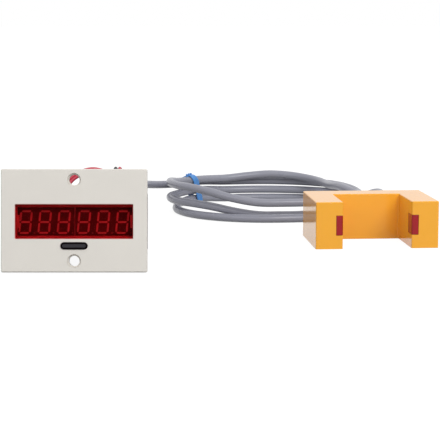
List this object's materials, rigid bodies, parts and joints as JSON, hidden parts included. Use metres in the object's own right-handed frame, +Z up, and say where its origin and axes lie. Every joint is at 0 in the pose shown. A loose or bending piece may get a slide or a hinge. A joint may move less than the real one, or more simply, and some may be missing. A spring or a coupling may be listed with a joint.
{
  "type": "digital counter",
  "caption": "Panel-mount electronic counter with a red seven-segment display and a reset button, wired by a coiled grey cable to a U-shaped orange photoelectric sensor.",
  "frame": {"origin": "middle of the underside of the box round the counter and the sensor, without the cords", "axes": "+X to the right from the counter to the sensor, +Y away from the reader, towards the rear, +Z up"},
  "size_m": [0.2272, 0.2922, 0.0511],
  "materials": {
    "cream_plastic": "moulded, satin",
    "dark_plastic": "moulded, matt",
    "red_window": "clear red, polished",
    "display_face": "dark face with pale segments",
    "black_plastic": "satin",
    "circuit_board": "lacquered",
    "steel": "zinc plated",
    "tinned_brass": "tinned",
    "laminations": "stacked, varnished",
    "winding": "taped",
    "capacitor_sleeve": "shrunk sleeve",
    "orange_plastic": "moulded, glossy",
    "red_lens": "clear red, moulded",
    "clear_resin": "tinted, clear",
    "grey_cable": "PVC sheath, satin",
    "blue_tie": "coated band",
    "red_wire": "PVC, satin",
    "black_wire": "PVC, satin",
    "blue_wire": "PVC, satin"
  },
  "bodies": {
    "counter_and_sensor": {"front_bezel": "cream_plastic", "display_filter": "red_window", "led_module_left": "display_face", "led_module_right": "display_face", "display_board": "circuit_board", "reset_switch": "black_plastic", "housing_shell": "dark_plastic", "rear_cover": "dark_plastic", "main_board": "circuit_board", "board_link": "black_plastic", "transformer_core": "laminations", "transformer_bobbin": "winding", "capacitor_large": "capacitor_sleeve", "capacitor_small": "capacitor_sleeve", "counter_chip": "black_plastic", "terminal_block": "black_plastic", "cover_screw_1": "steel", "cover_screw_2": "steel", "cover_screw_3": "steel", "cover_screw_4": "steel", "terminal_screw_1": "steel", "terminal_screw_2": "steel", "terminal_screw_3": "steel", "terminal_screw_4": "steel", "terminal_screw_5": "steel", "terminal_screw_6": "steel", "wire_lug_1": "tinned_brass", "wire_lug_2": "tinned_brass", "wire_lug_4": "tinned_brass", "wire_lug_5": "tinned_brass", "wire_lug_6": "tinned_brass", "sensor_housing": "orange_plastic", "sensor_bottom": "orange_plastic", "sensor_lens_left": "red_lens", "sensor_lens_right": "red_lens", "sensor_emitter": "clear_resin", "sensor_receiver": "clear_resin", "emitter_board": "circuit_board", "receiver_board": "circuit_board", "sensor_board": "circuit_board", "cable_sleeve": "black_plastic", "sensor_screw_1": "steel", "sensor_screw_2": "steel", "sensor_screw_3": "steel", "sensor_screw_4": "steel", "power_lead_1": "red_wire", "power_lead_2": "red_wire", "cable_from_counter": "grey_cable", "cable_coil": "grey_cable", "cable_to_sensor": "grey_cable", "cable_tie": "blue_tie", "sensor_core_blue": "blue_wire", "sensor_core_black": "black_wire", "sensor_core_red": "red_wire"},
    "button": {"reset_button": "black_plastic", "switch_plunger": "black_plastic"}
  },
  "joints": [
    {"name": "reset_button_press", "type": "slide", "parent": "counter_and_sensor", "child": "button", "axis": [0, 0.9904, -0.1381], "range_m": [0, 0.001], "stiffness_N_per_m": 900, "springref_m": -0.0005}
  ]
}
